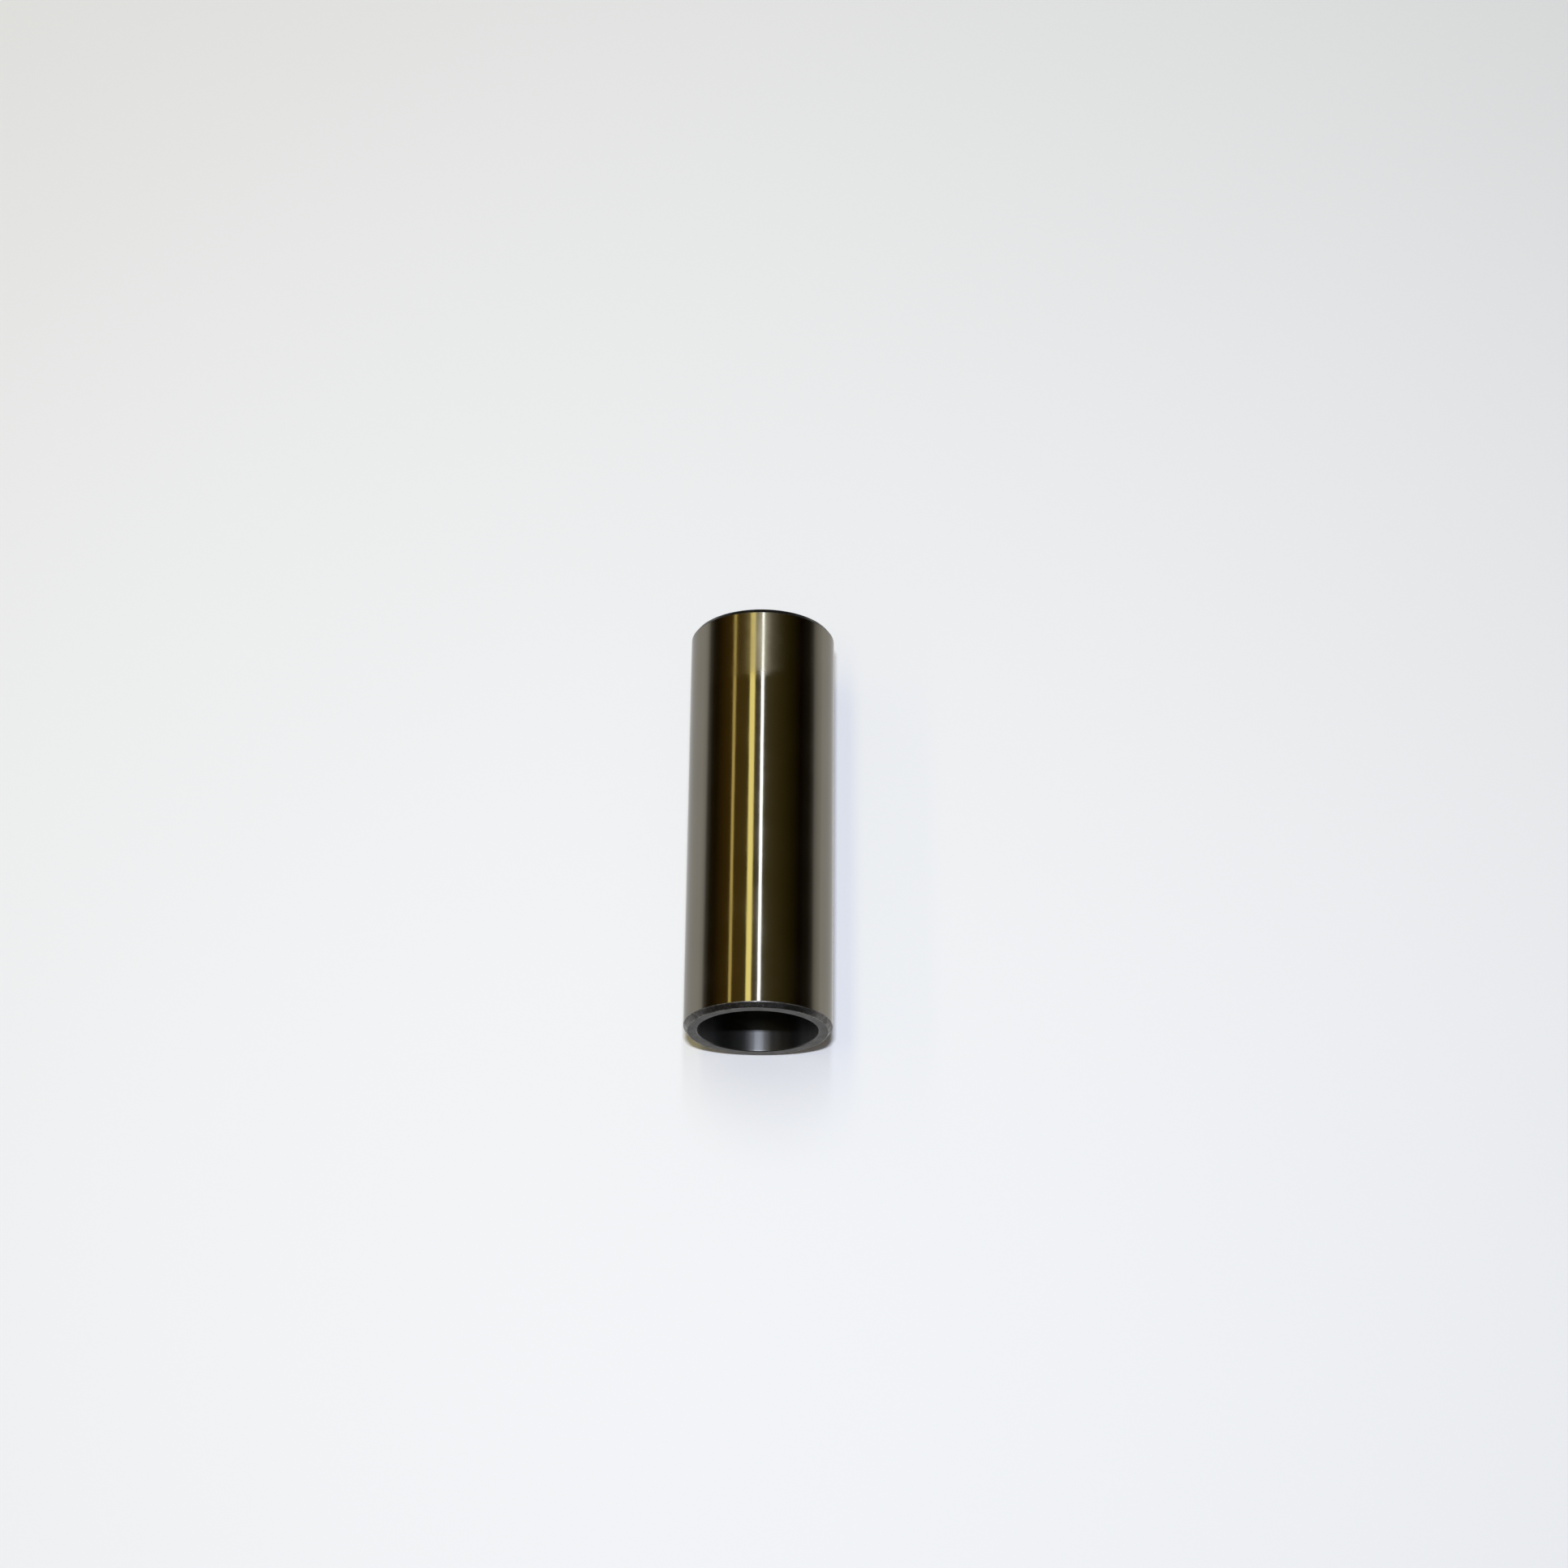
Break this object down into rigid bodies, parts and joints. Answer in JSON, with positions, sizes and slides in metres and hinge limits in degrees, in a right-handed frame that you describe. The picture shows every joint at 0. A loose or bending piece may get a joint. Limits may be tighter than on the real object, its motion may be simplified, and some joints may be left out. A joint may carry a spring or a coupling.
{
  "type": "gudgeon pin",
  "caption": "Hollow cylindrical pin of hardened steel with a ground outside, chamfered ends and a straight through bore, made to join a piston to its connecting rod.",
  "frame": {"origin": "centre of the lower end face, on the pin's axis", "axes": "+Z along the pin's axis from the lower end face to the upper one; the pin stands on its lower end"},
  "size_m": [0.024, 0.024, 0.07],
  "materials": {
    "ground_steel": "hardened, ground and lapped to a near mirror outside, turned ends and bore left satin"
  },
  "bodies": {
    "root": {"gudgeon_pin": "ground_steel"}
  },
  "joints": []
}
